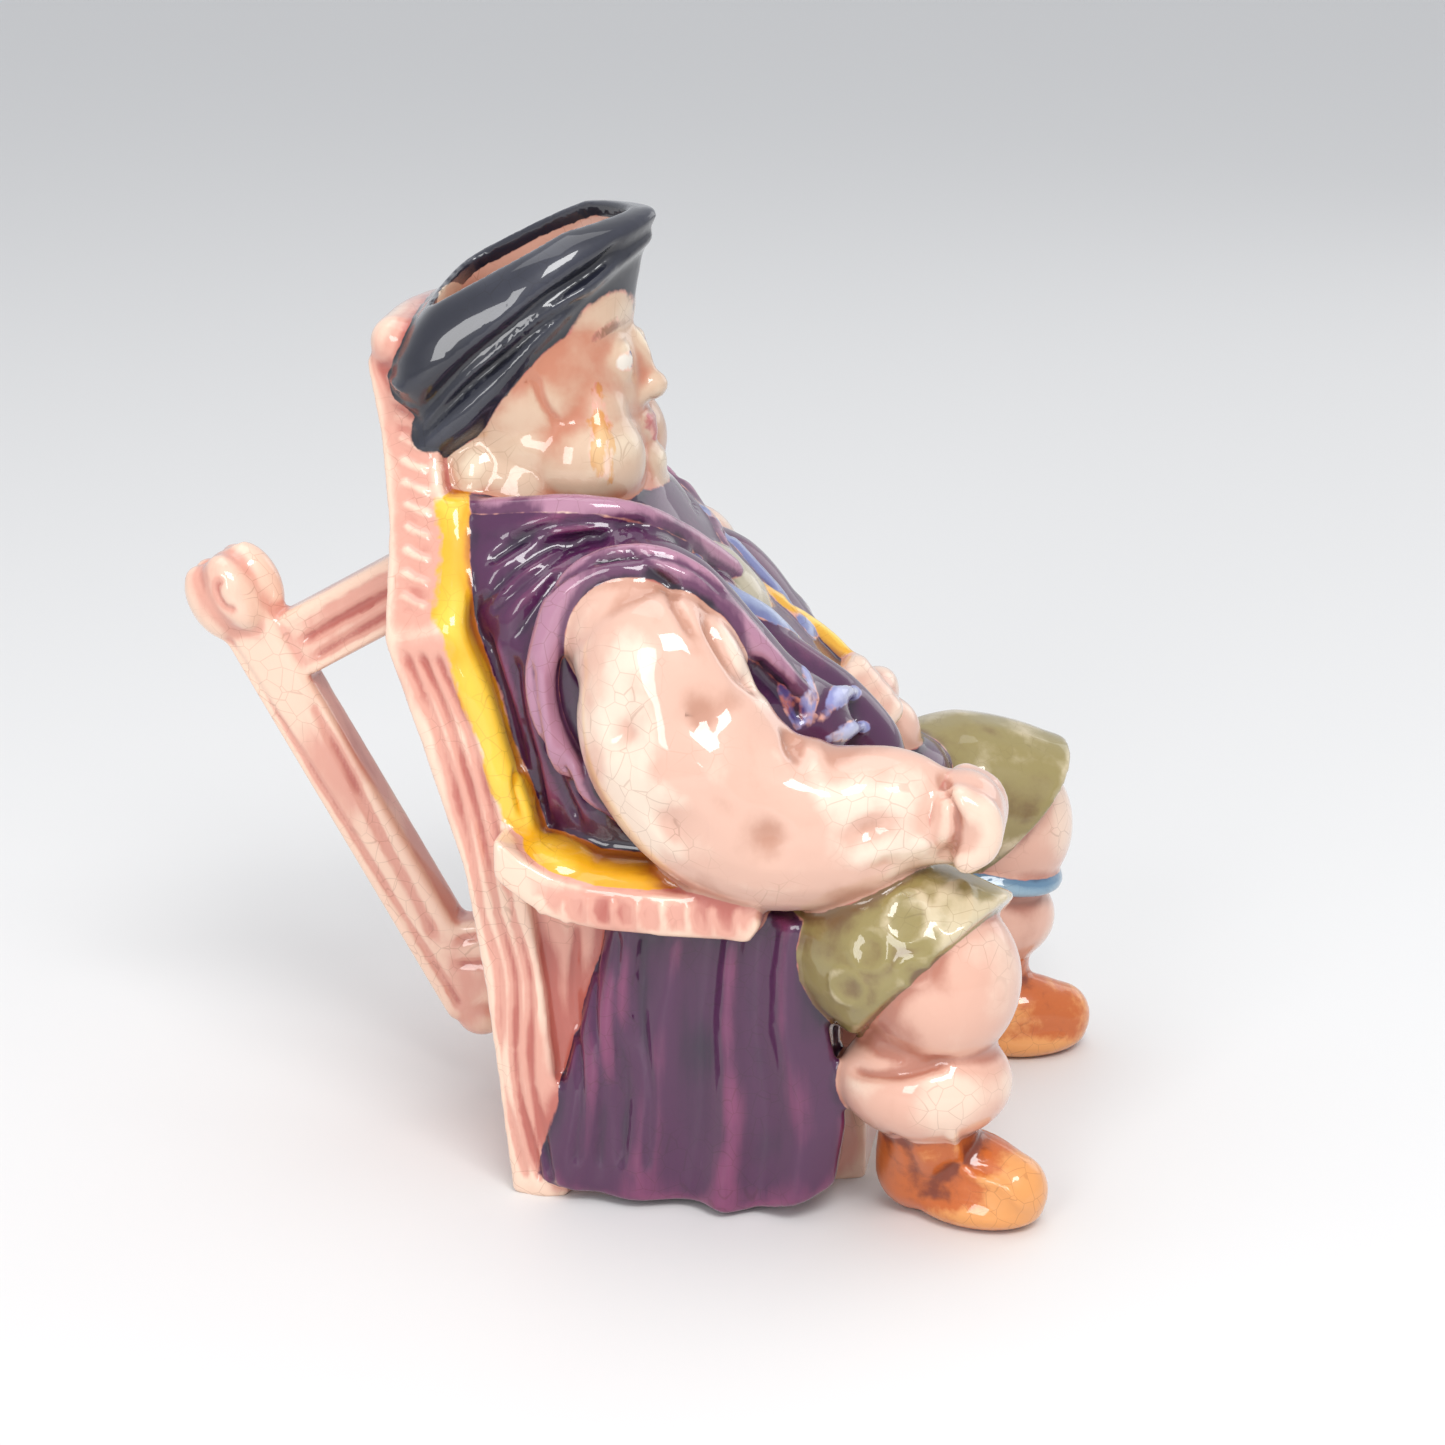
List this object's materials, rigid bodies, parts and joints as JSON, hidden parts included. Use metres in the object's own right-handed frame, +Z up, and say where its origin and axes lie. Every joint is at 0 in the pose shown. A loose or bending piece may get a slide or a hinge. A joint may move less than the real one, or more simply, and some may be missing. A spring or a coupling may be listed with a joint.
{
  "type": "toby jug",
  "caption": "Glazed earthenware toby jug: a stout seated figure in a soft hat open as the pouring mouth, in a boarded armchair with a rail handle behind.",
  "frame": {"origin": "middle of the chair on the flat underside the jug stands on", "axes": "the sitter faces -Y, the sitter's right hand is at -X, the handle is towards +Y, +Z is up"},
  "size_m": [0.1127, 0.165, 0.1676],
  "materials": {
    "glazed_earthenware": "glossy, crazed, painted in coloured glazes"
  },
  "bodies": {
    "root": {"toby_jug": "glazed_earthenware"}
  },
  "joints": []
}
